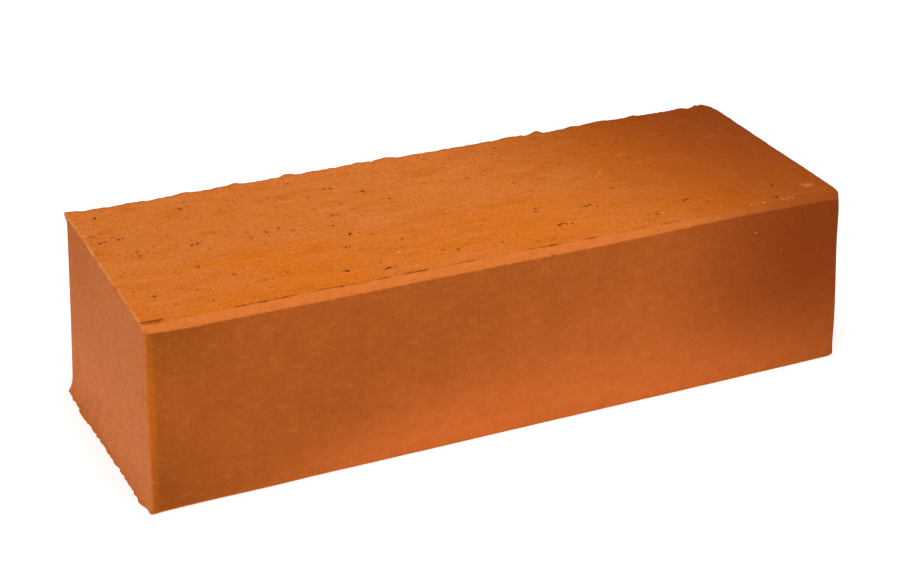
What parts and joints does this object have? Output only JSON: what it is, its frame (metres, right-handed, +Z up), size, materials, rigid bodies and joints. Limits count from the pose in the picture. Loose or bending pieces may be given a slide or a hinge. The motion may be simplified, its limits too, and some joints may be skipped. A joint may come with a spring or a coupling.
{
  "type": "clay brick",
  "caption": "Solid slim fired-clay facing brick: smooth extruded sides, wire-cut top and bottom beds and a bevelled front top edge, for laying in mortar.",
  "frame": {"origin": "middle of the bottom bed, the face that the brick stands on", "axes": "+X along the length towards the right header, +Y towards the back stretcher face, +Z up through the top bed"},
  "size_m": [0.25, 0.085, 0.065],
  "materials": {
    "fired_clay": "matte"
  },
  "bodies": {
    "root": {"brick_body": "fired_clay"}
  },
  "joints": []
}
